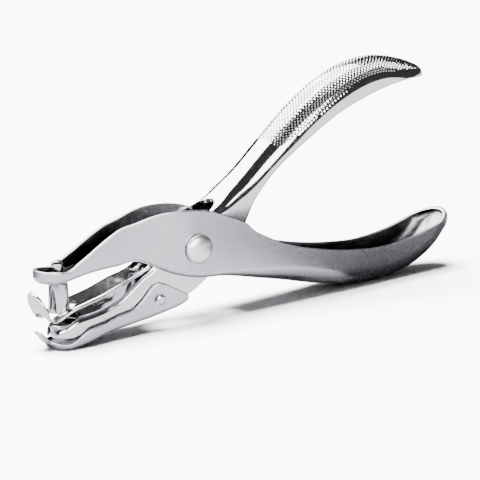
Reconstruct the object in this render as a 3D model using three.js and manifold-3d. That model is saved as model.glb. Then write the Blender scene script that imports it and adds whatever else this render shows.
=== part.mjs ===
// A one-hole hand punch: two crossed pressed-steel levers on one rivet, a punch pin in the
// outer lever, a die and a stripper strip in the inner lever, a torsion spring round the
// rivet and a chip tray that swings open under the lower jaw.
// Millimetres, +Z up. Everything is drawn round the rivet axis (the Y axis), jaws towards -X
// and handles towards +X, and the whole assembly is then stood on its chip tray and handle.
import * as THREE from 'three';
import { ParametricGeometry } from 'three/addons/geometries/ParametricGeometry.js';
import { mergeVertices } from 'three/addons/utils/BufferGeometryUtils.js';
import Module from 'manifold-3d';

// Driving dimensions
const SHEET = 1.2; // outer lever
const INNER_SHEET = 1.0; // inner lever
const TRAY_SHEET = 0.8;
const STRIP_SHEET = 0.9;
const GAP = 0.3; // between pieces that touch
const RIVET_R = 2.5; // shank
const RIVET_HEAD_R = 4.2;
const RIVET_HEAD_RISE = 1.9;
const PIN_R = 2.95; // cutting end
const PIN_TOP_R = 2.6; // under the jaw
const PIN_NECK_R = 2; // through the jaw
const PIN_AXIS = { x: -40.2, z: -5.35, lean: 0.03 }; // where it leaves the upper jaw, and its lean
const DIE_R = 4.2;
const DIE_BORE_R = 3.35;
const DIE = { x: -38.4, z: -16.95, slope: 0.13 }; // centre of its top, and the slope of its top
const HINGE = { x: -11.7, z: -13.2, r: 1.1 }; // chip tray hinge pins
const SPRING = { wire: 0.75, coil: 3.7, turns: 4, pitch: 1.9 };
const REST_TILT = THREE.MathUtils.degToRad(2.98); // stands on the tray's foot and the handle
const STAND = { x: -24.95, z: 21.47 }; // moves the rivet axis so that the box is centred on the origin

// Steel finishes
const finish = (color, roughness) => new THREE.MeshStandardMaterial({ color, roughness, metalness: 1 });
const SATIN_NICKEL = finish(0xb9b7bb, 0.38);
const BRIGHT_CHROME = finish(0xd9d9dc, 0.12);
const HARD_STEEL = finish(0xb4b4b6, 0.25);
const SPRING_STEEL = finish(0x8f9296, 0.3);

const { cos, sin, PI } = Math;
const wasm = await Module();
wasm.setup();

// A smooth value that passes through [x, value] pairs, level before the first and after the last.
function through(...pairs) {
  const last = pairs.length - 1;
  const slope = pairs.map((pair, i) => {
    const a = pairs[Math.max(i - 1, 0)];
    const b = pairs[Math.min(i + 1, last)];
    return (b[1] - a[1]) / (b[0] - a[0]);
  });
  return (x) => {
    if (x <= pairs[0][0]) return pairs[0][1];
    if (x >= pairs[last][0]) return pairs[last][1];
    const i = pairs.findIndex((pair) => pair[0] > x) - 1;
    const [x0, y0] = pairs[i];
    const [x1, y1] = pairs[i + 1];
    const run = x1 - x0;
    const t = (x - x0) / run;
    const rise = y1 - y0;
    const a = slope[i] * run - rise;
    const b = -slope[i + 1] * run + rise;
    return y0 + rise * t + t * (1 - t) * ((1 - t) * a + t * b);
  };
}

// A closed mesh as a manifold solid, with doubled points merged and flat-zero faces dropped.
function solid(geometry) {
  const bare = geometry.clone();
  for (const name of ['normal', 'uv', 'uv1']) bare.deleteAttribute(name);
  const merged = mergeVertices(bare, 1e-4);
  const corners = merged.index.array;
  const kept = [];
  for (let i = 0; i < corners.length; i += 3) {
    const [a, b, c] = corners.slice(i, i + 3);
    if (a !== b && b !== c && c !== a) kept.push(a, b, c);
  }
  const vertProperties = new Float32Array(merged.attributes.position.array);
  return new wasm.Manifold(new wasm.Mesh({ numProp: 3, vertProperties, triVerts: new Uint32Array(kept) }));
}

function toGeometry(body) {
  const mesh = body.getMesh();
  const geometry = new THREE.BufferGeometry();
  geometry.setAttribute('position', new THREE.BufferAttribute(new Float32Array(mesh.vertProperties), 3));
  geometry.setIndex(new THREE.BufferAttribute(new Uint32Array(mesh.triVerts), 1));
  return geometry;
}

const minus = (body, ...cuts) => cuts.reduce((rest, cut) => rest.subtract(solid(cut)), body);
const plus = (body, ...more) => more.reduce((whole, piece) => whole.add(solid(piece)), body);

// A cylinder across the levers, from one y to another.
function crossPin(radius, x, z, y0, y1, sides = 28) {
  return new THREE.CylinderGeometry(radius, radius, y1 - y0, sides).translate(x, (y0 + y1) / 2, z);
}

// A flat outline in X and Y, pulled up from z0 to z1.
function prism(points, z0, z1) {
  const outline = new THREE.Shape(points.map(([x, y]) => new THREE.Vector2(x, y)));
  return new THREE.ExtrudeGeometry(outline, { depth: z1 - z0, bevelEnabled: false }).translate(0, 0, z0);
}

// A strip between x0 and x1 that is halfWidth(x) wide on both sides of the centre line,
// with its end at x1 rounded by an ellipse that reaches roundEnd further.
function stripOutline(x0, x1, halfWidth, roundEnd = 0) {
  const steps = 12;
  const side = [];
  for (let i = 0; i <= steps; i++) {
    const x = x0 + ((x1 - x0) * i) / steps;
    side.push([x, -halfWidth(x)]);
  }
  for (let i = 1; roundEnd && i < steps; i++) {
    const angle = (PI * i) / (2 * steps);
    side.push([x1 + roundEnd * sin(angle), -halfWidth(x1) * cos(angle)]);
  }
  const tip = roundEnd ? [[x1 + roundEnd, 0]] : [];
  return [...side, ...tip, ...side.map(([x, y]) => [x, -y]).reverse()];
}

/**
 * A pressed channel. Its web follows the spine, an XZ curve from the nose to the tail, and its
 * two walls stand on the side that `up` points to (+1 above the web, -1 below) as far as the
 * rim, a curve z(x). The plan outline is rounded at both ends, and a bend of radius
 * bend(x) joins web and walls all the way round, so each end is a cup. `lean` says how
 * far a section turns from upright towards square to the spine.
 */
function channel({ spine, halfWidth, rim, bend, lean, sheet, nose, tail, up = 1, stations = 44 }) {
  const length = spine.getLength();
  const endSteps = 7;
  const bendSteps = 3;
  const frame = (s) => {
    const along = spine.getTangentAt(THREE.MathUtils.clamp(s / length, 0, 1));
    const at = spine.getPointAt(THREE.MathUtils.clamp(s / length, 0, 1));
    const turn = Math.atan2(along.y, along.x) * lean(at.x);
    return { at, x: -sin(turn) * up, z: cos(turn) * up };
  };
  // How high the wall stands on the web at s, found by halving.
  const wallHeight = (s) => {
    const { at, x, z } = frame(s);
    let low = 0;
    let high = 40;
    for (let i = 0; i < 36; i++) {
      const middle = (low + high) / 2;
      const over = (at.y + z * middle - rim(at.x + x * middle)) * up;
      if (over > 0) high = middle;
      else low = middle;
    }
    return Math.max(low, sheet + 0.2);
  };
  // The plan outline moved in by `inset`: [distance along the spine, distance from the centre].
  const outline = (u, inset) => {
    const step = u * stations;
    const fromTail = stations - step;
    const widthAt = (s) => halfWidth(spine.getPointAt(s / length).x) - inset;
    if (step < endSteps) {
      const angle = (PI / 2) * (step / endSteps);
      return [nose - (nose - inset) * cos(angle), widthAt(nose) * sin(angle)];
    }
    if (fromTail < endSteps) {
      const angle = (PI / 2) * (fromTail / endSteps);
      return [length - tail + (tail - inset) * cos(angle), widthAt(length - tail) * sin(angle)];
    }
    const s = nose + ((length - nose - tail) * (step - endSteps)) / (stations - 2 * endSteps);
    return [s, widthAt(s)];
  };
  // One skin of one half: row 0 is the rim, then the wall's foot and the bend, then the web's middle.
  const rows = bendSteps + 3;
  const skin = (u, row, depth) => {
    const radius = Math.min(bend(frame(outline(u, 0)[0]).at.x), wallHeight(outline(u, 0)[0]));
    const inner = Math.max(radius - depth, 0.05);
    const angle = ((PI / 2) * Math.max(row - 1, 0)) / bendSteps;
    const middle = row === rows - 1;
    const [s, y] = outline(u, middle ? depth + inner : depth + inner * (1 - cos(angle)));
    const height = row ? depth + inner * (1 - sin(angle)) : wallHeight(s);
    const { at, x, z } = frame(s);
    return middle ? [at.x + x * depth, 0, at.y + z * depth] : [at.x + x * height, y, at.y + z * height];
  };
  const outerPoints = 2 * rows - 1;
  const loop = 2 * outerPoints;
  const point = (u, v, target) => {
    const j = Math.round((up > 0 ? 1 - v : v) * loop) % loop; // the skin faces out either way up
    const across = j < outerPoints ? j : loop - 1 - j;
    const side = across < rows ? -1 : 1;
    const [x, y, z] = skin(u, Math.min(across, outerPoints - 1 - across), j < outerPoints ? 0 : sheet);
    target.set(x, side * y, z);
  };
  return new ParametricGeometry(point, stations, loop);
}

// A spine through [x, z] points.
const spineOf = (...points) => new THREE.SplineCurve(points.map(([x, z]) => new THREE.Vector2(x, z)));

const model = new THREE.Group();
const punch = new THREE.Group();
punch.rotation.y = REST_TILT;
punch.position.set(STAND.x, 0, STAND.z);
model.add(punch);

function add(name, body, material) {
  const mesh = new THREE.Mesh(body.getMesh ? toGeometry(body) : body, material);
  mesh.name = name;
  punch.add(mesh);
  return mesh;
}

// Outer lever: upper jaw, pivot cheeks and lower handle. The web is underneath.
const outerHalfWidth = through(
  [-41, 5.5], [-35, 5.1], [-22, 5.05], [-18, 5.6], [-14.7, 6.2], [-11, 6.8], [-7.6, 7.4],
  [-5, 7.75], [-3, 7.9], [10, 7.95], [30, 8], [58, 8.4], [75, 8], [98, 7.8],
);
const outerLever = channel({
  spine: spineOf(
    [-47.05, -5.6], [-41.5, -5.55], [-37.5, -4.9], [-33, -3.95], [-28, -3.3], [-23, -2.8],
    [-18, -2.1], [-13.3, -3.9], [-9.7, -5.7], [-5, -7.3], [0, -8.35], [5, -8.8], [11, -9.2],
    [22, -11.4], [32, -13.4], [42, -15.6], [52, -17.3], [62, -18.1], [72, -17.6], [82, -15.2],
    [90.5, -10.6], [96, -5], [99.6, 0.6],
  ),
  halfWidth: outerHalfWidth,
  rim: through(
    [-47, -1.9], [-41, -2.3], [-39.2, -2.1], [-37.6, -1.2], [-36.2, -0.3], [-33.7, 1.2],
    [-31.2, 2.8], [-28.2, 4.7], [-25.2, 6.4], [-23.2, 7.4], [-18.6, 8.6], [-14, 10], [-9.6, 10.8],
    [-5, 11], [-0.3, 10.9], [4.7, 10.1], [9.7, 8.4], [16.7, 5.6], [19.7, 3.1], [24.7, 0.6],
    [29.7, -1.5], [39.7, -4.2], [49.6, -5.9], [59.3, -6.8], [69.3, -6.9], [79.4, -5.4], [85, -4],
    [91, -2], [99.6, 2.1],
  ),
  bend: through(
    [-41, 1.9], [-20, 1.5], [-16, 1.4], [8, 1.5], [20, 3], [40, 4.5], [90, 4.5],
  ),
  lean: through([20, 0], [50, 1]),
  sheet: SHEET,
  nose: 5.5,
  tail: 8,
});
const OUTER_WEB_GAP = { front: -19.5, rear: 9, round: 3 };
const outerWebGap = prism(
  stripOutline(
    OUTER_WEB_GAP.front, OUTER_WEB_GAP.rear,
    (x) => outerHalfWidth(x) - SHEET - 0.2, OUTER_WEB_GAP.round,
  ),
  -20, 20);
// Things on the pin's axis, drawn round Z with z = 0 under the jaw.
const onPinAxis = (geometry) => geometry
  .rotateY(-Math.atan(PIN_AXIS.lean)).translate(PIN_AXIS.x, 0, PIN_AXIS.z);
const upright = (radius, z0, z1, sides = 32) =>
  new THREE.CylinderGeometry(radius, radius, z1 - z0, sides).rotateX(PI / 2).translate(0, 0, (z0 + z1) / 2);
add('outer_lever',
  minus(solid(outerLever), outerWebGap, onPinAxis(upright(PIN_NECK_R + GAP, -3, 3)),
    crossPin(RIVET_R + GAP, 0, 0, -10, 10)),
  SATIN_NICKEL);

// Inner lever: lower jaw, pivot cheeks and upper handle. The web is on top.
const innerHalfWidth = through(
  [-41, 5.4], [-34, 5.2], [-26, 4.9], [-14, 4.75], [-11, 5.1], [-7.6, 5.7], [-5, 6.1], [-3, 6.25],
  [0, 6.3], [6, 6.3], [19, 6.3], [32, 7], [55, 7.7], [87, 7.2],
);
const innerLever = channel({
  spine: spineOf(
    [-43.1, -18.7], [-40.2, -17], [-37, -15.4], [-32.8, -14.8], [-28.8, -14], [-25.8, -12.9],
    [-22.8, -11.6], [-18.1, -8.2], [-15.6, -6.4], [-12.1, -4.2], [-7, 1.5], [-3, 5.5], [2.8, 8.2],
    [9, 11.5], [13.7, 15.5], [18.7, 19.6], [28.7, 28.9], [38.7, 37.6], [48.7, 44.3], [58.7, 48.7],
    [68.7, 50.5], [78.2, 49.3], [84, 46.9], [87.6, 44.2],
  ),
  halfWidth: innerHalfWidth,
  rim: through(
    [-42.3, -20.6], [-38, -20.4], [-33, -19.2], [-24, -17.2], [-16, -14.8], [-8, -13.7],
    [-3.5, -13], [-1.6, -12.7], [4, -9.2], [8.5, -6], [13, -1], [17.5, 5.3], [20.5, 10.8],
    [25.5, 16.8], [30.5, 21.3], [40.5, 28.3], [50.5, 34.4], [60.5, 38.7], [70.5, 41.8],
    [80.5, 43.5], [89, 43.6],
  ),
  bend: through(
    [-41, 1.6], [-30, 1.4], [-14, 1.3], [4, 1.6], [14, 4.5], [40, 4.5], [70, 4],
  ),
  lean: through([4, 0], [22, 1]),
  sheet: INNER_SHEET,
  nose: 5.4,
  tail: 7.2,
  up: -1,
});
const INNER_WEB_GAP = { front: -12.5, rear: 4, round: 6 };
const innerWebGap = prism(
  stripOutline(INNER_WEB_GAP.front, INNER_WEB_GAP.rear, (x) => innerHalfWidth(x) - INNER_SHEET - 0.2,
    INNER_WEB_GAP.round),
  -30, 30);
// Things on the die's axis, drawn round Z with z = 0 on the die's top.
const onDieAxis = (geometry) => geometry.rotateY(-Math.atan(DIE.slope)).translate(DIE.x, 0, DIE.z);
const dieSeat = onDieAxis(upright(DIE_R + GAP, -6, 6));
// Things on the strip rivet's axis, drawn round Z with z = 0 in the middle of the strip.
const STRIP_RIVET = { x: -15.5, z: -5.2, slope: 0.55 };
const onStripRivet = (geometry) =>
  geometry.rotateY(-Math.atan(STRIP_RIVET.slope)).translate(STRIP_RIVET.x, 0, STRIP_RIVET.z);
// The cheeks end either side of the die.
const noseGap = new THREE.BoxGeometry(6, 4.4, 12).translate(-43, 0, -19);
add('inner_lever',
  minus(solid(innerLever), innerWebGap, dieSeat, noseGap, crossPin(RIVET_R + GAP, 0, 0, -10, 10),
    crossPin(HINGE.r + 0.25, HINGE.x, HINGE.z, -10, 10, 20), onStripRivet(upright(1.4, -5, 5, 20))),
  BRIGHT_CHROME);

// Pivot rivet: a shank with a domed head at each end.
const HEAD_BACK = 8.3;
const domed = (radius, rise, back, steps = 6) =>
  Array.from({ length: steps + 1 }, (_, i) => [
    radius * cos((PI / 2) * (i / steps)), back + 0.4 + rise * sin((PI / 2) * (i / steps)),
  ]);
const lathe = (profile, sides = 32) =>
  new THREE.LatheGeometry(profile.map(([r, h]) => new THREE.Vector2(Math.max(r, 0), h)), sides);
add('pivot_rivet', solid(lathe([
  [0, -HEAD_BACK - 0.4 - RIVET_HEAD_RISE + 0.4],
  ...domed(RIVET_HEAD_R, RIVET_HEAD_RISE - 0.4, HEAD_BACK).reverse().slice(1).map(([r, h]) => [r, -h]),
  [RIVET_HEAD_R, -HEAD_BACK], [RIVET_R, -HEAD_BACK], [RIVET_R, HEAD_BACK], [RIVET_HEAD_R - 0.5, HEAD_BACK],
  ...domed(RIVET_HEAD_R - 0.5, RIVET_HEAD_RISE - 0.4, HEAD_BACK),
])), BRIGHT_CHROME);

// Punch pin: its neck goes through the upper jaw's web and is staked over inside the nose.
const PIN_LENGTH = 8.6;
const PIN_SHOULDER = -0.75;
const PIN_STAKE = SHEET + 0.75;
const pinProfile = [
  [0, 5.6], [1.2, 5.4], [1.7, 4.6], [1.7, 2.5], [2.7, 2.2], [2.7, PIN_STAKE], [PIN_NECK_R, PIN_STAKE],
  [PIN_NECK_R, PIN_SHOULDER], [PIN_TOP_R, PIN_SHOULDER], [PIN_R, -PIN_LENGTH], [0, -PIN_LENGTH + 0.6],
];
add('punch_pin', solid(onPinAxis(lathe([...pinProfile].reverse()).rotateX(PI / 2))), HARD_STEEL);

// Die bush: a hardened ring let into the nose of the lower jaw.
add('die_bush', solid(onDieAxis(lathe([
  [DIE_BORE_R, -3.4], [DIE_R, -3.4], [DIE_R, -0.4], [DIE_R - 0.4, 0], [DIE_BORE_R, 0], [DIE_BORE_R, -3.4],
]).rotateX(PI / 2))), HARD_STEEL);

// Stripper: a strip over the lower jaw that leaves a paper slot, turned up at the front as a lip.
const stripHalfWidth = through([-23, 5.2], [-19, 4.2]); // narrow between the outer lever's walls
const stripPath = spineOf(
  [-13.6, -4.15], [-16.6, -5.8], [-20.9, -7.3], [-23.3, -8.35], [-28.3, -10.2], [-33.3, -11.6],
  [-38.3, -13.1], [-42.9, -15.2], [-44.6, -15.2], [-45.7, -13.6], [-46.7, -11.4], [-47.5, -9.4],
  [-48.2, -7.8],
);
function ribbon(path, sheet, steps) {
  const side = (offset) => Array.from({ length: steps + 1 }, (_, i) => {
    const at = path.getPointAt(i / steps);
    const along = path.getTangentAt(i / steps);
    return new THREE.Vector2(at.x - along.y * offset, at.y + along.x * offset);
  });
  return new THREE.Shape([...side(sheet / 2), ...side(-sheet / 2).reverse()]);
}
const acrossLevers = (shape, halfWidth) =>
  new THREE.ExtrudeGeometry(shape, { depth: 2 * halfWidth, bevelEnabled: false })
    .rotateX(PI / 2).translate(0, halfWidth, 0);
const LIP = { x: -43.6, middle: -12.2, halfWidth: 4.5, halfHeight: 4.5 };
const lipOutline = new THREE.Shape()
  .moveTo(-4.2, -17)
  .lineTo(4.2, -17)
  .absellipse(0, LIP.middle, LIP.halfWidth, LIP.halfHeight, -0.35, PI + 0.35, false);
// An outline in Y and Z, carried along X from x0 to x1.
const alongX = (shape, x0, x1) =>
  new THREE.ExtrudeGeometry(shape, { depth: x1 - x0, bevelEnabled: false, curveSegments: 10 })
    .rotateY(PI / 2).rotateX(PI / 2).translate(x0, 0, 0);
const lipZone = solid(alongX(lipOutline, -50, LIP.x));
const stripZone = solid(new THREE.BoxGeometry(40, 20, 30).translate(LIP.x + 20, 0, -5));
// The pin comes down a little further back in its hole as the jaws close, so the hole is long.
const stripHole = upright(1, -20, -5).scale(4.1, 3.4, 1).translate(-39.3, 0, 0);
const lipArch = new THREE.SphereGeometry(1, 20, 12).scale(2.4, 3.4, 2).translate(LIP.x - 1.2, 0, -15.4);
add('stripper_strip',
  minus(solid(acrossLevers(ribbon(stripPath, STRIP_SHEET, 44), 5.4)).intersect(lipZone.add(stripZone))
    .intersect(solid(prism(stripOutline(-50, -13, stripHalfWidth), -30, 5))),
    stripHole, lipArch, onStripRivet(upright(1.4, -5, 5, 20))),
  BRIGHT_CHROME);

// Stripper rivet: holds the strip's rear end on the lower jaw.
add('stripper_rivet', solid(onStripRivet(lathe([
  [0, -3.1], [1.9, -2.9], [2, -2.5], [1.1, -2.5], [1.1, 0.9], [2, 0.9], [1.8, 1.5], [0, 1.8],
], 24).rotateX(PI / 2))), BRIGHT_CHROME);

// Return spring: a torsion coil round the rivet with one leg under each handle's web.
class SpringPath extends THREE.Curve {
  // Straight in from the upper leg's tip, round the coil, and straight out to the lower leg's tip.
  constructor() {
    super();
    const { coil, turns, pitch } = SPRING;
    const start = THREE.MathUtils.degToRad(128); // where the upper leg leaves the coil
    const sweep = 2 * PI * turns + THREE.MathUtils.degToRad(118);
    const half = (sweep / (2 * PI)) * (pitch / 2);
    const coilPoint = (t) => {
      const angle = start + sweep * t;
      return new THREE.Vector3(coil * cos(angle), -half + 2 * half * t, coil * sin(angle));
    };
    const legs = { upper: new THREE.Vector3(17, -3.7, 13.4), lower: new THREE.Vector3(21, 3.7, -8.8) };
    const steps = 15 * (turns + 1);
    const points = [legs.upper, legs.upper.clone().lerp(coilPoint(0), 0.5)];
    for (let i = 0; i <= steps; i++) points.push(coilPoint(i / steps));
    points.push(legs.lower.clone().lerp(coilPoint(1), 0.5), legs.lower);
    this.points = points;
  }
  getPoint(t, target = new THREE.Vector3()) {
    const at = t * (this.points.length - 1);
    const i = Math.min(Math.floor(at), this.points.length - 2);
    return target.copy(this.points[i]).lerp(this.points[i + 1], at - i);
  }
  // Read by step and not by length: every step ends on a point, so a straight leg costs two.
  getUtoTmapping(u) {
    return u;
  }
}
const springPath = new SpringPath();
const wireSection = new THREE.Shape().absarc(0, 0, SPRING.wire, 0, 2 * PI);
add('return_spring', solid(new THREE.ExtrudeGeometry(wireSection, {
  steps: springPath.points.length - 1, curveSegments: 4, bevelEnabled: false, extrudePath: springPath,
})), SPRING_STEEL);

// Chip tray: a shallow channel under the lower jaw, open behind its hinge, with a flat foot.
const trayHalfWidth = through(
  [-42, 6.2], [-37, 6.45], [-33, 6.55], [-26, 6.1], [-14, 6], [-11, 6.35], [-7.6, 6.95],
  [-5, 7.35], [-2, 7.65],
);
const chipTray = channel({
  spine: spineOf(
    [-43.9, -22.9], [-42, -23.6], [-38.6, -23.4], [-33.3, -22.1], [-28.3, -20.7], [-23.3, -19.8],
    [-18.3, -19], [-13.3, -18.1], [-8.5, -16.8], [-4.7, -15.5], [-1.8, -13.9],
  ),
  halfWidth: trayHalfWidth,
  rim: through(
    [-44, -21.5], [-40.4, -21.9], [-38.4, -21.1], [-33.9, -18.5], [-28.9, -17.35], [-23.9, -15.9],
    [-19.9, -15.05], [-18.4, -14.05], [-16.4, -12.35], [-14.4, -10.2], [-12.9, -9], [-11.4, -8.7],
    [-9.8, -9.1], [-6, -11], [-2.2, -13.1],
  ),
  bend: () => 1.3,
  lean: () => 0,
  sheet: TRAY_SHEET,
  nose: 6,
  tail: 1.6,
  stations: 34,
});
const trayRear = prism(stripOutline(-14.5, 2, (x) => trayHalfWidth(x) - TRAY_SHEET - 0.1), -30, 0);
const FLOOR = -STAND.z; // the surface it stands on, measured along its own tilted Z
const underFloor = new THREE.BoxGeometry(80, 30, 10).translate(-20, 0, FLOOR - 5).rotateY(-REST_TILT);
const tonguePath = spineOf([-43.4, -22.3], [-44.4, -21.4], [-45.4, -20.2], [-46.6, -18.9]);
const tongue = acrossLevers(ribbon(tonguePath, TRAY_SHEET, 8), 2);
add('chip_tray',
  minus(plus(solid(chipTray), tongue), trayRear, underFloor,
    crossPin(HINGE.r + 0.25, HINGE.x, HINGE.z, -10, 10, 20)),
  SATIN_NICKEL);

// Tray hinge pins: a short headed rivet through each cheek and each ear of the tray.
for (const [name, side] of [['tray_hinge_pin_left', -1], ['tray_hinge_pin_right', 1]]) {
  const ear = trayHalfWidth(HINGE.x);
  const cheek = innerHalfWidth(HINGE.x) - INNER_SHEET;
  const pin = lathe([
    [0, cheek - 1], [1.6, cheek - 1], [1.6, cheek - 0.5], [HINGE.r, cheek - 0.5],
    [HINGE.r, ear + 0.5], [1.5, ear + 0.5], [1.4, ear + 0.8], [1, ear + 1], [0, ear + 1.1],
  ], 20);
  if (side < 0) pin.rotateX(PI);
  add(name, solid(pin.translate(HINGE.x, 0, HINGE.z)), BRIGHT_CHROME);
}
export default model;
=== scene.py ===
import math

import bmesh
import bpy
import numpy as np
from mathutils import Matrix, Vector


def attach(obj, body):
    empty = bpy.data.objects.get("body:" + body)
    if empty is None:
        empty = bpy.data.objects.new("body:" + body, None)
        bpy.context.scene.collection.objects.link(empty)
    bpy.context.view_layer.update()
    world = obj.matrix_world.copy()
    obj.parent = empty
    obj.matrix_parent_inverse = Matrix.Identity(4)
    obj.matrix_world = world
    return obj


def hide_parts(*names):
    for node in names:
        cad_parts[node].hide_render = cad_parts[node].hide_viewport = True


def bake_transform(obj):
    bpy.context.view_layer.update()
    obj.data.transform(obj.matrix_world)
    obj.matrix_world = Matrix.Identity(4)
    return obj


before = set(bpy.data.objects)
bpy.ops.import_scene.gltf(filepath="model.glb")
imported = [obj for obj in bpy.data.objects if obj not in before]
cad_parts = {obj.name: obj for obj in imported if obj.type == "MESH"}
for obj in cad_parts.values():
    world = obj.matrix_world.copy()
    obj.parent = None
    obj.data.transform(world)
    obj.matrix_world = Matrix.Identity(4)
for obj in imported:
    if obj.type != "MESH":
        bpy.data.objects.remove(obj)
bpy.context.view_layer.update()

# A one-hole hand punch in pressed and plated steel, on a pale table.
# Lengths are millimetres, drawn round the rivet axis: X towards the handles, Z up. place()
# then stands them on the table and turns them into metres.

REST_TILT = math.radians(2.98)
RIVET = np.array([-24.95, 0.0, 21.47])  # the rivet's centre above the table
SHEET = 1.2
INNER_SHEET = 1.0
TRAY_SHEET = 0.8
STRIP_SHEET = 0.9
RIM_ROUND = 0.32  # rounded corners along every rim
DIMPLE_PITCH = 1.3
DIMPLE_RADIUS = 0.45
DIMPLE_DEPTH = 0.3
GRID = DIMPLE_PITCH / 4  # so that every dimple has its centre on a grid point

PIN_AXIS = (-40.2, -5.35, 0.03)  # x, z and lean
DIE_AXIS = (-38.4, -16.95, 0.13)
STRIP_RIVET_AXIS = (-15.5, -5.2, 0.55)
TRAY_HINGE = (-11.7, -13.2)


def place(points):
    """Turns points drawn round the rivet by the rest tilt about Y, adds the rivet's centre and
    divides by 1000: x' = x cos + z sin, z' = z cos - x sin."""
    points = np.asarray(points, float)
    c, s = math.cos(REST_TILT), math.sin(REST_TILT)
    turned = np.stack([points[..., 0] * c + points[..., 2] * s, points[..., 1],
                       points[..., 2] * c - points[..., 0] * s], -1)
    return (turned + RIVET) / 1000


# ---------------------------------------------------------------- curves

def through(*pairs):
    """A smooth curve through (x, value) pairs: a cubic between neighbours whose slope at each pair
    is the slope between the pairs on either side of it. Level beyond both ends."""
    xs, ys = np.array(pairs, float).T
    n = len(xs)
    before = np.maximum(np.arange(n) - 1, 0)
    after = np.minimum(np.arange(n) + 1, n - 1)
    slope = (ys[after] - ys[before]) / (xs[after] - xs[before])

    def value(x):
        x = np.clip(x, xs[0], xs[-1])
        i = np.clip(np.searchsorted(xs, x, "right") - 1, 0, n - 2)
        run = xs[i + 1] - xs[i]
        rise = ys[i + 1] - ys[i]
        t = (x - xs[i]) / run
        a = slope[i] * run - rise
        b = rise - slope[i + 1] * run
        return ys[i] + rise * t + t * (1 - t) * ((1 - t) * a + t * b)
    return value


class Spine:
    """A curve in XZ through points, read by its length. Between two points it is the cubic whose
    end slopes are half the step between each point's neighbours."""

    def __init__(self, *points):
        p = np.array(points, float)
        n = len(p)
        t = np.linspace(0, n - 1, 60 * n)
        i = np.minimum(t.astype(int), n - 2)
        w = (t - i)[:, None]
        first = p[np.where(i == 0, i, i - 1)]
        last = p[np.minimum(i + 2, n - 1)]
        a, b = p[i], p[i + 1]
        va, vb = (b - first) / 2, (last - a) / 2
        self.p = (2 * a - 2 * b + va + vb) * w**3 + (3 * b - 3 * a - 2 * va - vb) * w**2 + va * w + a
        step = np.linalg.norm(np.diff(self.p, axis=0), axis=1)
        self.s = np.concatenate([[0], np.cumsum(step)])
        self.length = self.s[-1]
        self.slope = np.gradient(self.p, self.s, axis=0)

    def at(self, s):
        """The point at length s, as (x, z)."""
        return np.interp(s, self.s, self.p[:, 0]), np.interp(s, self.s, self.p[:, 1])

    def along(self, s):
        """The direction at length s, as an angle above +X."""
        dx = np.interp(s, self.s, self.slope[:, 0])
        dz = np.interp(s, self.s, self.slope[:, 1])
        return np.arctan2(dz, dx)


# ---------------------------------------------------------------- meshes

def make(name, points, faces, body, node, material, smooth=35, bends_to=None):
    """One object from points (millimetres, drawn round the rivet) and faces. It rides on a body,
    stands for a node, and shades smooth except over edges sharper than `smooth` degrees. With
    bends_to set it is baked where it stands instead and rides on no body."""
    mesh = bpy.data.meshes.new(name)
    mesh.from_pydata(place(points).tolist(), [], faces)
    mend(mesh)
    mesh.polygons.foreach_set("use_smooth", [True] * len(mesh.polygons))
    mesh.set_sharp_from_angle(angle=math.radians(smooth))
    mesh.materials.append(material)
    obj = bpy.data.objects.new(name, mesh)
    bpy.context.scene.collection.objects.link(obj)
    if bends_to:
        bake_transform(obj)
    else:
        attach(obj, body)
    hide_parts(node)
    return obj


def mend(mesh):
    """Joins doubled points, drops faces with no area, and turns all faces outwards."""
    bm = bmesh.new()
    bm.from_mesh(mesh)
    bmesh.ops.remove_doubles(bm, verts=bm.verts, dist=2e-7)
    bmesh.ops.dissolve_degenerate(bm, edges=bm.edges, dist=1e-8)
    bmesh.ops.recalc_face_normals(bm, faces=bm.faces)
    bm.to_mesh(mesh)
    bm.free()


def grid_faces(rows, columns, wrap=True):
    """Four-sided faces between neighbours of a rows by columns grid of points, closed round the
    columns if `wrap`."""
    i, j = np.meshgrid(np.arange(rows - 1), np.arange(columns if wrap else columns - 1), indexing="ij")
    k = (j + 1) % columns
    here, above = i * columns, (i + 1) * columns
    quads = np.stack([here + j, here + k, above + k, above + j], -1)
    return quads.reshape(-1, 4).tolist()


def turned(profile, sides=96, fine=0):
    """A solid of revolution about Z from (radius, height) pairs that start and end on the axis.
    With `fine`, each corner is first cut back by that much and rounded by a parabola."""
    profile = np.array(profile, float)
    if fine:
        profile = rounded(profile, fine)
    angle = np.arange(sides) * 2 * math.pi / sides
    r, h = profile[:, 0][:, None], profile[:, 1][:, None]
    points = np.stack([r * np.cos(angle), r * np.sin(angle), h + 0 * angle], -1)
    return points.reshape(-1, 3), grid_faces(len(profile), sides)


def rounded(path, cut, steps=4):
    """A path whose inner corners are cut back by `cut` (at most half a side) and bridged with
    the parabola (1-t)^2 a + 2 t (1-t) corner + t^2 b."""
    out = [path[0]]
    for before, corner, after in zip(path[:-2], path[1:-1], path[2:]):
        back, on = before - corner, after - corner
        lengths = np.linalg.norm(back), np.linalg.norm(on)
        a = corner + back / lengths[0] * min(cut, lengths[0] / 2.05)
        b = corner + on / lengths[1] * min(cut, lengths[1] / 2.05)
        t = np.linspace(0, 1, steps + 1)[:, None]
        out.extend((1 - t)**2 * a + 2 * t * (1 - t) * corner + t**2 * b)
    out.append(path[-1])
    return np.array(out)


def on_axis(points, axis):
    """Puts points drawn round Z on an axis that crosses (x, 0, z) and leans towards -X by `lean`
    for each unit up."""
    x, z, lean = axis
    a = math.atan(lean)
    p = np.asarray(points, float)
    return np.stack([p[:, 0] * math.cos(a) - p[:, 2] * math.sin(a) + x, p[:, 1],
                     p[:, 0] * math.sin(a) + p[:, 2] * math.cos(a) + z], -1)


def across(points, x, z):
    """Puts points drawn round Z on a line across the levers, their +Z towards +Y."""
    p = np.asarray(points, float)
    return np.stack([p[:, 0] + x, p[:, 2], -p[:, 1] + z], -1)


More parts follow.
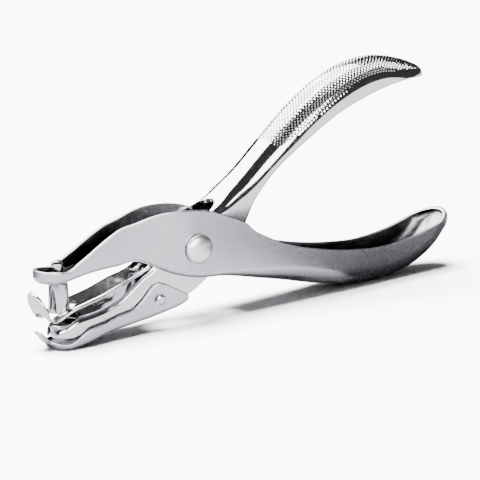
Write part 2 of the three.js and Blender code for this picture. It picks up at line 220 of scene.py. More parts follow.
def cut(obj, *cutters):
    """Takes closed bodies (points, faces) out of an object, then shades it smooth except over
    edges sharper than 30 degrees."""
    for points, faces in cutters:
        mesh = bpy.data.meshes.new("cutter")
        mesh.from_pydata(place(points).tolist(), [], faces)
        mend(mesh)
        tool = bpy.data.objects.new("cutter", mesh)
        bpy.context.scene.collection.objects.link(tool)
        change = obj.modifiers.new("cut", "BOOLEAN")
        change.operation = "DIFFERENCE"
        change.solver = "MANIFOLD"
        change.object = tool
        bpy.context.view_layer.update()
        shown = obj.evaluated_get(bpy.context.evaluated_depsgraph_get())
        shape = bpy.data.meshes.new_from_object(shown)
        obj.modifiers.clear()
        obj.data = shape
        bpy.data.objects.remove(tool)
    obj.data.polygons.foreach_set("use_smooth", [True] * len(obj.data.polygons))
    obj.data.set_sharp_from_angle(angle=math.radians(30))


def cylinder(radius, low, high, sides=64, stretch=1.0):
    """A closed cylinder about Z, `stretch` times as long along X."""
    points, faces = turned([[0, low], [radius, low], [radius, high], [0, high]], sides)
    return points * [stretch, 1, 1], faces


def prism(outline, low, high):
    """A closed prism from an (x, y) outline, from z = low to z = high."""
    outline = np.asarray(outline, float)
    n = len(outline)
    points = np.vstack([np.c_[outline, np.full(n, low)], np.c_[outline, np.full(n, high)]])
    sides = [[i, (i + 1) % n, n + (i + 1) % n, n + i] for i in range(n)]
    return points, [list(range(n))[::-1], list(range(n, 2 * n))] + sides


def body_on_axis(body, axis):
    """A closed body (points, faces) put on an axis by on_axis()."""
    return on_axis(body[0], axis), body[1]


def body_across(body, x, z):
    """A closed body (points, faces) laid across the levers by across()."""
    return across(body[0], x, z), body[1]


def web_gap(front, rear, half_width, round_end):
    """The outline of a gap in a web: half_width(x) wide either side, its rear end an ellipse."""
    x = np.linspace(front, rear, 60)
    side = np.c_[x, -half_width(x)]
    angle = np.linspace(0, math.pi / 2, 24)[1:]
    end = np.c_[rear + round_end * np.sin(angle), -half_width(rear) * np.cos(angle)]
    lower = np.vstack([side, end])
    upper = (lower * [1, -1])[::-1][1:]
    return np.vstack([lower, upper])


def box(low, high):
    """A closed box between two corners."""
    (x0, y0, z0), (x1, y1, z1) = low, high
    return prism([[x0, y0], [x1, y0], [x1, y1], [x0, y1]], z0, z1)


class Channel:
    """A pressed channel. Its web follows the spine; its walls stand `up` (+1) or down (-1) as far
    as the rim, a curve z(x). The plan outline is rounded at both ends, and a bend of radius
    bend(x) joins web and walls. `lean` turns a section from upright (0) to square to the spine (1)."""

    def __init__(self, spine, half_width, rim, bend, lean, sheet, nose, tail, up=1):
        self.spine, self.half_width, self.rim, self.bend, self.lean = spine, half_width, rim, bend, lean
        self.sheet, self.nose, self.tail, self.up = sheet, nose, tail, up

    def section(self, s):
        """Where a section stands at length s, and the way its walls point, as x, z, ux, uz."""
        s = np.clip(s, 0, self.spine.length)
        x, z = self.spine.at(s)
        turn = self.spine.along(s) * self.lean(x)
        return x, z, -np.sin(turn) * self.up, np.cos(turn) * self.up

    def wall_height(self, s):
        """How high the wall stands over the web at s: the height is halved until it meets the rim."""
        x, z, ux, uz = self.section(s)
        low, high = np.zeros_like(x), np.full_like(x, 40.0)
        for _ in range(30):
            middle = (low + high) / 2
            over = (z + uz * middle - self.rim(x + ux * middle)) * self.up > 0
            high = np.where(over, middle, high)
            low = np.where(over, low, middle)
        return np.maximum(low, self.sheet + 0.2)

    def outline(self, station, inset):
        """The plan outline moved in by `inset`, as length along the spine and distance from the
        middle. A station is (part, value): an angle in the rounded nose or tail, else a length."""
        part, value = station
        length, nose, tail = self.spine.length, self.nose, self.tail
        base = np.where(part < 0, nose, np.where(part > 0, length - tail, value))
        wide = self.half_width(self.spine.at(base)[0]) - inset
        at_nose = nose - (nose - inset) * np.cos(value)
        at_tail = length - tail + (tail - inset) * np.cos(value)
        s = np.where(part < 0, at_nose, np.where(part > 0, at_tail, value))
        y = np.where(part == 0, wide, wide * np.sin(value))
        return s, y

    def stations(self, steps, fine=None):
        """Stations from nose to tail. Between the lengths in `fine` they are one GRID apart."""
        angle = np.linspace(0, math.pi / 2, steps)
        middle = [self.nose, self.spine.length - self.tail]
        if fine:
            inner = np.arange(fine[0], fine[1] + GRID / 2, GRID)
            lengths = np.concatenate([np.arange(middle[0], fine[0] - 0.3, 0.7), inner,
                                      np.arange(fine[1] + 0.4, middle[1], 0.5)])
        else:
            lengths = np.linspace(middle[0], middle[1], int((middle[1] - middle[0]) / 0.6))
        lengths = lengths[(lengths > middle[0] + 0.1) & (lengths < middle[1] - 0.1)]
        part = np.concatenate([-np.ones(steps), np.zeros(len(lengths)), np.ones(steps)])
        return part[:, None], np.concatenate([angle, lengths, angle[::-1]])[:, None]

    def half_skin(self, station, web, bend, wall, depth, lift, drop=0.0):
        """Points of one half of a skin. web, bend and wall run 0 to 1 along the flat web, the bend
        and the wall; depth is how far inside the outer skin it lies, lift how far it stands off
        the skin, and drop how far its top stays under the rim."""
        at_rim, _ = self.outline(station, 0 * web)
        tall = self.wall_height(at_rim)
        radius = np.minimum(self.bend(self.section(at_rim)[0]), tall)
        inner = np.maximum(radius - depth, 0.05)
        angle = bend * math.pi / 2
        inset = depth + inner * (1 - np.sin(math.pi / 2 - angle)) - lift * np.cos(angle)
        s, y = self.outline(station, inset)
        tall = self.wall_height(s)
        foot = depth + inner
        on_bend = depth + inner * (1 - np.sin(angle)) - lift * np.sin(angle)
        height = np.where(wall > 0, foot + (tall - drop - foot) * wall, on_bend)
        x, z, ux, uz = self.section(s)
        return np.stack([x + ux * height, y * (1 - web), z + uz * height], -1)

    def lengths_across(self, station):
        """How long the web's flat half, the bend and the wall are at each station."""
        s, _ = self.outline(station, 0.0)
        tall = self.wall_height(s)
        radius = np.minimum(self.bend(self.section(s)[0]), tall)
        _, flat = self.outline(station, radius)
        return np.maximum(flat, 0), radius * math.pi / 2, np.maximum(tall - radius - RIM_ROUND, 0.02)

    def surface(self, steps=40, fine=None, dimples=None):
        """The closed surface as (points, faces). On the outer skin the rows are one GRID apart
        from the middle of the web for as long as `fine` says, and then spread to the rim.
        dimples(along, across) is how much of its full depth a dimple has there."""
        station = self.stations(steps, fine and fine["lengths"])
        flat, arc, wall = self.lengths_across(station)
        total = flat + arc + wall
        if fine:
            even = GRID * np.arange(fine["rows"])[None, :] * np.ones_like(flat)
            ruled = np.hstack([even, np.full((len(flat), 13), 99.0)])
            even = even * np.minimum(1, (total * 0.8) / even[:, -1:])
            rest = np.linspace(0, 1, 14)[None, 1:]
            q = np.hstack([even, even[:, -1:] + (total - even[:, -1:]) * rest])
        else:
            q = np.hstack([flat * np.linspace(0, 1, 5)[None, :],
                           flat + arc * np.linspace(0, 1, 13)[None, 1:],
                           flat + arc + wall * np.linspace(0, 1, 11)[None, 1:]])
        web = np.where(q < flat, 1 - q / np.maximum(flat, 1e-6), 0)
        bend = np.clip(1 - (q - flat) / arc, 0, 1)
        up_wall = np.clip((q - flat - arc) / wall, 0, 1)
        along = self.outline(station, 0.0)[0] * np.ones_like(q)
        lift = -DIMPLE_DEPTH * dimples(along, ruled) if dimples else 0 * q
        outer = self.half_skin(station, web, bend, up_wall, 0.0, lift, RIM_ROUND)
        turn = np.linspace(0, math.pi / 2, 5)[None, 1:]
        corner_depth = RIM_ROUND * (1 - np.cos(turn))
        corner_drop = RIM_ROUND * (1 - np.sin(turn))
        depth = np.hstack([corner_depth, self.sheet - corner_depth[:, ::-1], [[self.sheet]]])
        drop = np.hstack([corner_drop, corner_drop[:, ::-1], [[RIM_ROUND]]])
        one = np.ones_like(flat * depth)
        edge = self.half_skin(station, 0 * one, 0 * one, one, depth * one, 0 * one, drop * one)
        inner_wall = np.linspace(1, 0, 8)[None, 1:] * np.ones_like(flat)
        inner_bend = np.linspace(0, 1, 9)[None, 1:] * np.ones_like(flat)
        inner_web = np.linspace(0, 1, 5)[None, 1:] * np.ones_like(flat)
        zero_wall, zero_bend, zero_web = 0 * inner_wall, 0 * inner_bend, 0 * inner_web
        inner = self.half_skin(
            station, np.hstack([zero_wall, zero_bend, inner_web]),
            np.hstack([zero_wall, inner_bend, zero_web + 1]),
            np.hstack([inner_wall, zero_bend, zero_web]), self.sheet, 0.0, RIM_ROUND)
        half = np.concatenate([outer, edge, inner], 1)
        mirrored = half[:, 1:-1][:, ::-1] * [1, -1, 1]
        loop = np.concatenate([half, mirrored], 1)
        return loop.reshape(-1, 3), grid_faces(loop.shape[0], loop.shape[1])


def dimple_field(start, end, reach):
    """Staggered dimples between two lengths along a handle, as far from the middle of its web as
    reach(along). Each is cos^2 of its distance, on a lattice one pitch apart with every second
    row moved on by half a pitch."""
    def depth(along, across):
        a = (along - start) / DIMPLE_PITCH
        b = across / (DIMPLE_PITCH / 2)
        best = np.full(np.broadcast(a, b).shape, 9.0)
        for row in (np.floor(b), np.floor(b) + 1):
            shift = np.where(row % 2 == 0, 0, 0.5)
            column = np.round(a - shift) + shift
            best = np.minimum(best, np.hypot((a - column) * DIMPLE_PITCH, (b - row) * DIMPLE_PITCH / 2))
        inside = (along > start) & (along < end) & (np.round(b) * DIMPLE_PITCH / 2 < reach(along))
        bowl = np.cos(best / DIMPLE_RADIUS * math.pi / 2)**2
        return np.where(inside & (best < DIMPLE_RADIUS), bowl, 0)
    return depth


# ---------------------------------------------------------------- finishes and painted shade

def srgb(code):
    """A hex colour as linear red, green, blue and alpha."""
    c = np.array([int(code[i:i + 2], 16) / 255 for i in (0, 2, 4)])
    linear = np.where(c <= 0.04045, c / 12.92, ((c + 0.055) / 1.055)**2.4)
    return (*linear.tolist(), 1.0)


def add_node(tree, kind, settings=None, **inputs):
    """A node with its settings and inputs. An input is a value or another node's output."""
    node = tree.nodes.new(kind)
    for name, value in (settings or {}).items():
        setattr(node, name, value)
    for name, value in inputs.items():
        socket = node.inputs[name.replace("_", " ")]
        if isinstance(value, bpy.types.NodeSocket):
            tree.links.new(value, socket)
        else:
            socket.default_value = value
    return node


WIDE_PATCH = 14  # how wide the faint changes of colour are
PAINTED_SHADE_REACH = 20  # how far round a point the painted shade looks for open air
# The dark grey of the painted shade in recesses.
PAINTED_SHADE_COLOUR = "1e1d1e"


def steel(name, colour, roughness, spread, grain_mm, grain_stretch, grain_height, tint=None):
    """Plated or ground steel. Noise of grain_mm, stretched by grain_stretch (x, y, z), sets the
    roughness between roughness and roughness + spread and raises a grain of grain_height
    metres. A wide, faint noise varies the colour towards `tint`. Painted shade: where little
    open air is within 20 mm, the colour falls off to a dark grey, so recesses look shaded."""
    material = bpy.data.materials.new(name)
    material.use_nodes = True
    tree = material.node_tree
    shader = tree.nodes["Principled BSDF"]
    where = add_node(tree, "ShaderNodeTexCoord").outputs["Object"]
    stretched = add_node(tree, "ShaderNodeVectorMath", {"operation": "MULTIPLY"})
    tree.links.new(where, stretched.inputs[0])
    stretched.inputs[1].default_value = grain_stretch
    grain = add_node(tree, "ShaderNodeTexNoise", None, Vector=stretched.outputs[0],
                     Scale=1000 / grain_mm, Detail=3.0, Roughness=0.6).outputs["Fac"]
    wide = add_node(tree, "ShaderNodeTexNoise", None, Vector=where, Scale=1000 / WIDE_PATCH,
                    Detail=2.0).outputs["Fac"]
    rough = add_node(tree, "ShaderNodeMapRange", None, Value=grain, From_Min=0.3, From_Max=0.7,
                     To_Min=roughness, To_Max=roughness + spread).outputs["Result"]
    shade = add_node(tree, "ShaderNodeMapRange", None, Value=wide, From_Min=0.3, From_Max=0.7,
                     To_Min=0.0, To_Max=1.0).outputs["Result"]
    colours = add_node(tree, "ShaderNodeMix", {"data_type": "RGBA"})
    tree.links.new(shade, colours.inputs[0])
    colours.inputs[6].default_value = srgb(colour)
    colours.inputs[7].default_value = srgb(tint or colour)
    # Painted shade: where ambient occlusion finds little open air, the colour is darkened towards a dark grey, so
    # recesses look shaded; `plated` is how much of the undarkened colour is kept.
    open_air = add_node(tree, "ShaderNodeAmbientOcclusion", {"samples": 8, "only_local": True},
                        Distance=PAINTED_SHADE_REACH / 1000).outputs["AO"]
    plated = add_node(tree, "ShaderNodeMapRange", None, Value=open_air, From_Min=0.5, From_Max=0.9,
                      To_Min=0.0, To_Max=1.0).outputs["Result"]
    painted_shade_mix = add_node(tree, "ShaderNodeMix", {"data_type": "RGBA"})
    tree.links.new(plated, painted_shade_mix.inputs[0])
    painted_shade_mix.inputs[6].default_value = srgb(PAINTED_SHADE_COLOUR)
    tree.links.new(colours.outputs[2], painted_shade_mix.inputs[7])
    bump = add_node(tree, "ShaderNodeBump", None, Height=grain, Strength=1.0, Distance=grain_height)
    shader.inputs["Metallic"].default_value = 1.0
    tree.links.new(painted_shade_mix.outputs[2], shader.inputs["Base Color"])
    tree.links.new(rough, shader.inputs["Roughness"])
    tree.links.new(bump.outputs["Normal"], shader.inputs["Normal"])
    return material


# Satin nickel: tumbled before plating, so its grain is fine and has no direction.
SATIN_NICKEL = steel("satin nickel plate", "c9c7cc", 0.24, 0.1, 0.25, (1, 1, 1), 1.2e-6, "c2c1c8")
# Bright chrome over polished steel: almost a mirror, with a faint orange peel.
BRIGHT_CHROME = steel("bright chrome plate", "dddde0", 0.06, 0.05, 1.6, (1, 1, 1), 1.5e-6, "d6d6da")
# The pin and die are ground round their axis after hardening.
GROUND_STEEL = steel("ground hard steel", "cfcfd2", 0.1, 0.12, 0.12, (0.1, 0.1, 1), 1.0e-6, "c4c4c8")
# The rivet's heads are set by a die, then plated over a dull surface.
SET_HEAD = steel("nickel plate over a set head", "f2f2f4", 0.3, 0.06, 0.5, (1, 1, 1), 1.0e-6, "ececef")
# Drawn spring wire, plated.
SPRING_WIRE = steel("plated spring wire", "a3a6aa", 0.2, 0.12, 0.2, (1, 1, 1), 1.0e-6, "8f9296")


# ---------------------------------------------------------------- outer lever

outer_half_width = through(
    (-41, 5.5), (-35, 5.1), (-22, 5.05), (-18, 5.6), (-14.7, 6.2), (-11, 6.8), (-7.6, 7.4),
    (-5, 7.75), (-3, 7.9), (10, 7.95), (30, 8), (58, 8.4), (75, 8), (98, 7.8))
outer = Channel(
    spine=Spine(
        (-47.05, -5.6), (-41.5, -5.55), (-37.5, -4.9), (-33, -3.95), (-28, -3.3), (-23, -2.8), (-18, -2.1),
        (-13.3, -3.9), (-9.7, -5.7), (-5, -7.3), (0, -8.35), (5, -8.8), (11, -9.2), (22, -11.4), (32, -13.4),
        (42, -15.6), (52, -17.3), (62, -18.1), (72, -17.6), (82, -15.2), (90.5, -10.6), (96, -5), (99.6, 0.6)),
    half_width=outer_half_width,
    rim=through(
        (-47, -1.9), (-41, -2.3), (-39.2, -2.1), (-37.6, -1.2), (-36.2, -0.3), (-33.7, 1.2), (-31.2, 2.8),
        (-28.2, 4.7), (-25.2, 6.4), (-23.2, 7.4), (-18.6, 8.6), (-14, 10), (-9.6, 10.8), (-5, 11), (-0.3, 10.9),
        (4.7, 10.1), (9.7, 8.4), (16.7, 5.6), (19.7, 3.1), (24.7, 0.6), (29.7, -1.5), (39.7, -4.2),
        (49.6, -5.9), (59.3, -6.8), (69.3, -6.9), (79.4, -5.4), (85, -4), (91, -2), (99.6, 2.1)),
    bend=through((-41, 1.9), (-20, 1.5), (-16, 1.4), (8, 1.5), (20, 3), (40, 5.5), (90, 5.5)),
    lean=through((20, 0), (50, 1)),
    sheet=SHEET, nose=5.5, tail=8)
points, faces = outer.surface(
    fine={"lengths": (86.0, 86.0 + GRID * 168), "rows": 48},
    dimples=dimple_field(86.0, 86.0 + GRID * 168, through((86, 7), (98, 9.5), (118, 10), (140, 7.6))))
outer_lever = make("outer_lever_fine", points, faces, "outer", "outer_lever",
                   SATIN_NICKEL)
pin_hole = cylinder(2.3, -3, 3)
rivet_hole = cylinder(2.8, -12, 12)
cut(outer_lever,
    prism(web_gap(-19.5, 9, lambda x: outer_half_width(x) - SHEET - 0.2, 3), -20, 20),
    body_on_axis(pin_hole, PIN_AXIS),
    body_across(rivet_hole, 0, 0))

# ---------------------------------------------------------------- inner lever

inner_half_width = through(
    (-41, 5.4), (-34, 5.2), (-26, 4.9), (-14, 4.75), (-11, 5.1), (-7.6, 5.7), (-5, 6.1),
    (-3, 6.25), (0, 6.3), (6, 6.3), (19, 6.3), (32, 7), (55, 7.7), (87, 7.2))
inner = Channel(
    spine=Spine(
        (-43.1, -18.7), (-40.2, -17), (-37, -15.4), (-32.8, -14.8), (-28.8, -14), (-25.8, -12.9),
        (-22.8, -11.6), (-18.1, -8.2), (-15.6, -6.4), (-12.1, -4.2), (-7, 1.5), (-3, 5.5), (2.8, 8.2), (9, 11.5),
        (13.7, 15.5), (18.7, 19.6), (28.7, 28.9), (38.7, 37.6), (48.7, 44.3), (58.7, 48.7), (68.7, 50.5),
        (78.2, 49.3), (84, 46.9), (87.6, 44.2)),
    half_width=inner_half_width,
    rim=through(
        (-42.3, -20.6), (-38, -20.4), (-33, -19.2), (-24, -17.2), (-16, -14.8), (-8, -13.7), (-3.5, -13),
        (-1.6, -12.7), (4, -9.2), (8.5, -6), (13, -1), (17.5, 5.3), (20.5, 10.8), (25.5, 16.8), (30.5, 21.3),
        (40.5, 28.3), (50.5, 34.4), (60.5, 38.7), (70.5, 41.8), (80.5, 43.5), (89, 43.6)),
    bend=through((-41, 1.6), (-30, 1.4), (-14, 1.3), (4, 1.6), (14, 4.6), (24, 6), (40, 7), (70, 7), (86, 6)),
    lean=through((4, 0), (22, 1)),
    sheet=INNER_SHEET, nose=5.4, tail=7.2, up=-1)
points, faces = inner.surface(
    fine={"lengths": (86.0, 86.0 + GRID * 204), "rows": 32},
    dimples=dimple_field(86.0, 86.0 + GRID * 204, through((86, 7.4), (96, 9.5), (125, 9.6), (150, 8.6))))
inner_lever = make("inner_lever_fine", points, faces, "inner", "inner_lever",
                   BRIGHT_CHROME)
hinge_hole = cylinder(1.35, -10, 10, 40)
strip_rivet_hole = cylinder(1.4, -5, 5, 40)
die_seat = cylinder(4.5, -6, 6, 96)
cut(inner_lever,
    prism(web_gap(-12.5, 4, lambda x: inner_half_width(x) - INNER_SHEET - 0.2, 6), -30, 30),
    body_on_axis(die_seat, DIE_AXIS),
    box((-46, -2.2, -25), (-40, 2.2, -13)),
    body_across(rivet_hole, 0, 0),
    body_across(hinge_hole, *TRAY_HINGE),
    body_on_axis(strip_rivet_hole, STRIP_RIVET_AXIS))

# ---------------------------------------------------------------- rivet, pin and die

def dome(radius, base, rise, steps=14):
    """A quarter of an ellipse from the rim of a head to its top."""
    angle = np.linspace(0, math.pi / 2, steps)
    across_head = np.where(angle < math.pi / 2 - 1e-9, radius * np.cos(angle), 0)
    return np.c_[across_head, base + rise * np.sin(angle)].tolist()


head_near = [[r, -h] for r, h in dome(4.2, 8.7, 1.5)][::-1]
rivet_profile = head_near + [[4.2, -8.3], [2.5, -8.3], [2.5, 8.3], [3.7, 8.3]] + dome(3.7, 8.7, 1.5)
points, faces = turned(rivet_profile)
make("pivot_rivet_fine", across(points, 0, 0), faces, "outer", "pivot_rivet", SET_HEAD)

pin_profile = [[0, -8.0], [2.95, -8.6], [2.6, -0.75], [2, -0.75], [2, 1.95], [2.7, 1.95],
               [2.7, 2.2], [1.7, 2.5], [1.7, 4.6], [1.2, 5.4], [0, 5.6]]
points, faces = turned(pin_profile, fine=0.12)
make("punch_pin_fine", on_axis(points, PIN_AXIS), faces, "outer", "punch_pin",
     GROUND_STEEL, smooth=28)

ring = np.array([[3.35, -3.4], [4.2, -3.4], [4.2, -0.4], [3.8, 0], [3.35, 0], [3.35, -3.4]])
ring = rounded(ring, 0.12)
points, faces = turned(ring, 96)
make("die_bush_fine", on_axis(points, DIE_AXIS), faces, "inner", "die_bush",
     GROUND_STEEL, smooth=28)

# ---------------------------------------------------------------- stripper strip and its rivet

strip_path = Spine(
    (-13.6, -4.15), (-16.6, -5.8), (-20.9, -7.3), (-23.3, -8.35), (-28.3, -10.2), (-33.3, -11.6), (-38.3, -13.1),
    (-42.9, -15.2), (-44.6, -15.2), (-45.7, -13.6), (-46.7, -11.4), (-47.5, -9.4), (-48.2, -7.8))


def strip_surface(path, sheet, half_width, stations=220, side=10):
    """A strip along the path. Each section is a flat loop with rounded edges, half_width(x, z)
    wide on both sides: the loop is two straight runs joined by half circles of the sheet."""
    s = np.linspace(0, path.length, stations)[:, None]
    x, z = path.at(s)
    angle = path.along(s)
    turn = np.linspace(-math.pi / 2, math.pi / 2, 9)[None, :]
    wide = np.maximum(half_width(x, z) - sheet / 2, 0.02)
    flat = np.linspace(1, -1, side)[None, 1:-1]
    edge = wide + sheet / 2 * np.cos(turn)
    y = np.hstack([edge, wide * flat, -edge, -wide * flat])
    h = np.hstack([sheet / 2 * np.sin(turn) + 0 * wide, sheet / 2 + 0 * wide * flat,
                   -sheet / 2 * np.sin(turn) + 0 * wide, -sheet / 2 + 0 * wide * flat])
    points = np.stack([x - np.sin(angle) * h, y, z + np.cos(angle) * h], -1)
    count = points.shape[1]
    ends = [list(range(count)), list(range((stations - 1) * count, stations * count))[::-1]]
    return points.reshape(-1, 3), grid_faces(stations, count) + ends


def strip_half_width(x, z):
    """The strip widens towards the jaws, and its turned-up lip ends in half an ellipse."""
    straight = through((-23, 5.2), (-19, 4.2))(x)
    lip = 4.5 * np.sqrt(np.clip(1 - ((z + 12.2) / 4.5)**2, 0.0, 1))
    lip = np.where(z < -12.2, np.minimum(5.2, np.maximum(lip, 4.25)), lip)
    return np.where(x < -44.6, np.minimum(straight, lip), straight)


points, faces = strip_surface(strip_path, STRIP_SHEET, strip_half_width)
strip = make("stripper_strip_fine", points, faces, "inner", "stripper_strip",
             BRIGHT_CHROME)
pin_slot, slot_faces = cylinder(3.4, -20, -5, 96, 4.1 / 3.4)
angles = np.linspace(-math.pi / 2, math.pi / 2, 25)
arch, arch_faces = turned([[max(math.cos(a), 0), math.sin(a)] for a in angles], 64)
arch = arch * [2.4, 3.4, 2] + [-44.8, 0, -15.4]
cut(strip, (pin_slot + [-39.3, 0, 0], slot_faces), (arch, arch_faces),
    body_on_axis(strip_rivet_hole, STRIP_RIVET_AXIS))

points, faces = turned([[0, -3.1], [1.9, -2.9], [2, -2.5], [1.1, -2.5], [1.1, 0.9], [2, 0.9],
                        [1.8, 1.5], [0, 1.8]], 48, fine=0.15)
make("stripper_rivet_fine", on_axis(points, STRIP_RIVET_AXIS), faces, "inner", "stripper_rivet",
     BRIGHT_CHROME, smooth=50)

# ---------------------------------------------------------------- return spring

COIL, WIRE, TURNS, PITCH = 3.7, 0.75, 4, 1.9
start, sweep = math.radians(128), 2 * math.pi * TURNS + math.radians(118)
half = sweep / (2 * math.pi) * PITCH / 2
t = np.linspace(0, 1, 300)
coil = np.c_[COIL * np.cos(start + sweep * t), -half + 2 * half * t, COIL * np.sin(start + sweep * t)]
legs = np.array([[17, -3.7, 13.4], [21, 3.7, -8.8]])
run = np.linspace(0, 1, 30)[:-1, None]
upper_leg = legs[0] + (coil[0] - legs[0]) * run
lower_leg = coil[-1] + (legs[1] - coil[-1]) * (1 - run[::-1])
path = np.vstack([upper_leg, coil, lower_leg])


def tube(path, radius, sides=20):
    """A round wire along a path. At each point its section is spanned by the part of Y that is
    square to the path, and by that way crossed with the path."""
    along = np.gradient(path, axis=0)
    along /= np.linalg.norm(along, axis=1)[:, None]
    one = np.array([0, 1.0, 0]) - along * along[:, 1:2]
    one /= np.linalg.norm(one, axis=1)[:, None]
    two = np.cross(along, one)
    angle = np.arange(sides) * 2 * math.pi / sides
    ring = one[:, None] * np.cos(angle)[None, :, None] + two[:, None] * np.sin(angle)[None, :, None]
    points = path[:, None] + radius * ring
    ends = [list(range(sides)), list(range((len(path) - 1) * sides, len(path) * sides))[::-1]]
    return points.reshape(-1, 3), grid_faces(len(path), sides) + ends


points, faces = tube(path, WIRE)
make("return_spring_fine", points, faces, "inner", "return_spring", SPRING_WIRE,
     bends_to=("outer", [0, -3.2, 0], [0, 3.2, 0]))

# ---------------------------------------------------------------- chip tray and hinge pins

tray_half_width = through(
    (-42, 6.2), (-37, 6.45), (-33, 6.55), (-26, 6.1), (-14, 6), (-11, 6.35), (-7.6, 6.95), (-5, 7.35), (-2, 7.65))
tray = Channel(
    spine=Spine(
        (-43.9, -22.9), (-42, -23.6), (-38.6, -23.4), (-33.3, -22.1), (-28.3, -20.7), (-23.3, -19.8),
        (-18.3, -19), (-13.3, -18.1), (-8.5, -16.8), (-4.7, -15.5), (-1.8, -13.9)),
    half_width=tray_half_width,
    rim=through(
        (-44, -21.5), (-40.4, -21.9), (-38.4, -21.1), (-33.9, -18.5), (-28.9, -17.35), (-23.9, -15.9),
        (-19.9, -15.05), (-18.4, -14.05), (-16.4, -12.35), (-14.4, -10.2), (-12.9, -9), (-11.4, -8.7),
        (-9.8, -9.1), (-6, -11), (-2.2, -13.1)),
    bend=through((-50, 1.3), (0, 1.3)), lean=through((-50, 0), (0, 0)), sheet=TRAY_SHEET, nose=6, tail=1.6)
points, faces = tray.surface()
chip_tray = make("chip_tray_fine", points, faces, "tray", "chip_tray", SATIN_NICKEL)
# The tray's foot is cut level with the table. The box is drawn standing and turned back.
flat_points, flat_faces = box((-60, -15, -12), (20, 15, 0))
c, s = math.cos(-REST_TILT), math.sin(-REST_TILT)
flat_points = np.stack([flat_points[:, 0] * c + (flat_points[:, 2] - RIVET[2]) * s, flat_points[:, 1],
                        (flat_points[:, 2] - RIVET[2]) * c - flat_points[:, 0] * s], -1)
rear = web_gap(-14.5, 2, lambda x: tray_half_width(x) - TRAY_SHEET - 0.1, 0.2)
cut(chip_tray, prism(rear, -30, 0), (flat_points, flat_faces), body_across(hinge_hole, *TRAY_HINGE))

tongue_path = Spine((-43.4, -22.3), (-44.4, -21.4), (-45.4, -20.2), (-46.6, -18.9))
points, faces = strip_surface(tongue_path, TRAY_SHEET, lambda x, z: 2.0 + 0 * x, 40)
make("chip_tray_tongue", points, faces, "tray", "chip_tray", SATIN_NICKEL)

ear = float(tray_half_width(-11.7))
cheek = float(inner_half_width(-11.7)) - INNER_SHEET
hinge_profile = [[0, cheek - 1], [1.6, cheek - 1], [1.6, cheek - 0.5], [1.1, cheek - 0.5],
                 [1.1, ear + 0.5], [1.5, ear + 0.5], [1.4, ear + 0.8], [1, ear + 1], [0, ear + 1.1]]
points, faces = turned(hinge_profile, 48, fine=0.12)
for side, name in ((-1, "left"), (1, "right")):
    there = across(points, 0, 0) * [1, side, 1] + [TRAY_HINGE[0], 0, TRAY_HINGE[1]]
    make(f"tray_hinge_pin_{name}_fine", there, faces, "inner", f"tray_hinge_pin_{name}",
         BRIGHT_CHROME, smooth=50)

# ---------------------------------------------------------------- table, light and camera

def flat_colour(name, colour, roughness=0.6):
    """A plain surface of one colour."""
    material = bpy.data.materials.new(name)
    material.use_nodes = True
    shader = material.node_tree.nodes["Principled BSDF"]
    shader.inputs["Base Color"].default_value = srgb(colour)
    shader.inputs["Roughness"].default_value = roughness
    shader.inputs["Specular IOR Level"].default_value = 0.2
    return material


def panel(name, centre, target, width, height, material):
    """A flat rectangle that faces a target. It isn't part of the punch."""
    mesh = bpy.data.meshes.new(name)
    w, h = width / 2, height / 2
    way = (Vector(target) - Vector(centre)).to_track_quat("-Z", "Y").to_matrix().to_4x4()
    there = Matrix.Translation(centre) @ way
    corners = [there @ Vector(v) for v in ((-w, -h, 0), (w, -h, 0), (w, h, 0), (-w, h, 0))]
    mesh.from_pydata([tuple(v) for v in corners], [], [(0, 1, 2, 3)])
    mesh.materials.append(material)
    obj = bpy.data.objects.new(name, mesh)
    bpy.context.scene.collection.objects.link(obj)
    return obj


def card(name, centre, target, width, height, material):
    """A card that only shows in reflections."""
    obj = panel(name, centre, target, width, height, material)
    obj.visible_camera = False
    obj.visible_diffuse = False
    obj.visible_shadow = False


def glow(name, strength):
    """A material that gives out white light."""
    material = flat_colour(name, "ffffff")
    shader = material.node_tree.nodes["Principled BSDF"]
    shader.inputs["Emission Color"].default_value = srgb("ffffff")
    shader.inputs["Emission Strength"].default_value = strength
    return material


DARK_CARD = flat_colour("dark card", "161618", 0.9)
GREY_CARD = flat_colour("grey card", "77777a", 0.9)
WHITE_BOARD = glow("white board", 4.5)
panel("table", (0, 0, -0.00005), (0, 0, 1), 6, 6, flat_colour("white table", "f4f3f1"))


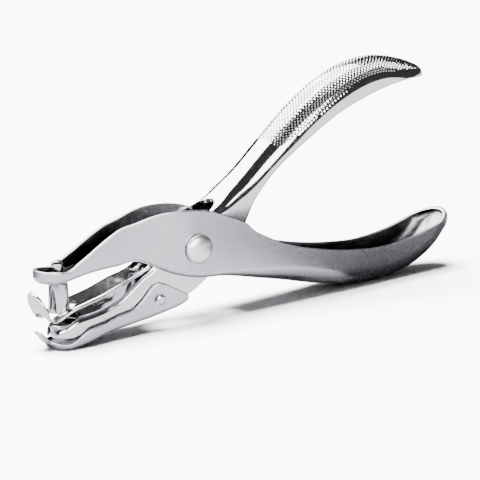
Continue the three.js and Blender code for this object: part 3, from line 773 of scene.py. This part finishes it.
def board(name, centre, target, width, height):
    """A glowing white board that only shows in reflections."""
    card(name, centre, target, width, height, WHITE_BOARD)


sun = bpy.data.lights.new("large high light", "SUN")
sun.energy, sun.angle = 40.0, math.radians(40)
sun_obj = bpy.data.objects.new("large high light", sun)
sun_obj.rotation_euler = Vector((0.14, -0.22, -0.96)).to_track_quat("-Z", "Y").to_euler()
sun_obj.visible_glossy = False
bpy.context.scene.collection.objects.link(sun_obj)
board("board over the back", (-0.13, 0.37, 0.75), (-0.08, 0, 0.03), 1.04, 0.9)
board("board at the front", (-0.2, -0.75, 0.36), (-0.02, 0, 0.03), 0.85, 0.42)
board("board at the jaws", (-0.75, -0.25, 0.3), (-0.05, 0, 0.02), 0.5, 0.3)
# What the plate mirrors of the table: grey all over, dark in front of the handles and behind.
card("grey card on the table", (0, 0, 0.0004), (0, 0, 1), 6, 6, GREY_CARD)
card("dark card on the table", (0.2, -0.06, 0.0008), (0.2, -0.06, 1), 0.34, 0.13, DARK_CARD)
card("dark card behind", (0.2, 0.5, 0.0008), (0.2, 0.5, 1), 1.4, 0.86, DARK_CARD)

world = bpy.data.worlds.new("dim room")
bpy.context.scene.world = world
world.use_nodes = True
world.node_tree.nodes["Background"].inputs["Color"].default_value = srgb("ffffff")
world.node_tree.nodes["Background"].inputs["Strength"].default_value = 0.05

# The camera looks a little down on the near side, from the jaws' end, in the pieces' own axes.
CAMERA_DISTANCE = 450
right = np.array([0.80902, -0.58779, 0.0])
ahead = np.array([0.57794, 0.79547, -0.18224])
above = np.cross(right, ahead)
target = np.array([13.258, -9.349, 1.236])
eye = target - ahead * CAMERA_DISTANCE
origin = place([[0, 0, 0]])[0]
axes = [(place([v])[0] - origin) * 1000 for v in (right, above, -ahead)]
lens = bpy.data.cameras.new("camera")
lens.lens = 119.81
lens.sensor_width = 36
camera = bpy.data.objects.new("camera", lens)
rows = [[*(a[i] for a in axes), place([eye])[0][i]] for i in range(3)]
camera.matrix_world = Matrix(rows + [[0, 0, 0, 1]])
bpy.context.scene.collection.objects.link(camera)
bpy.context.scene.camera = camera
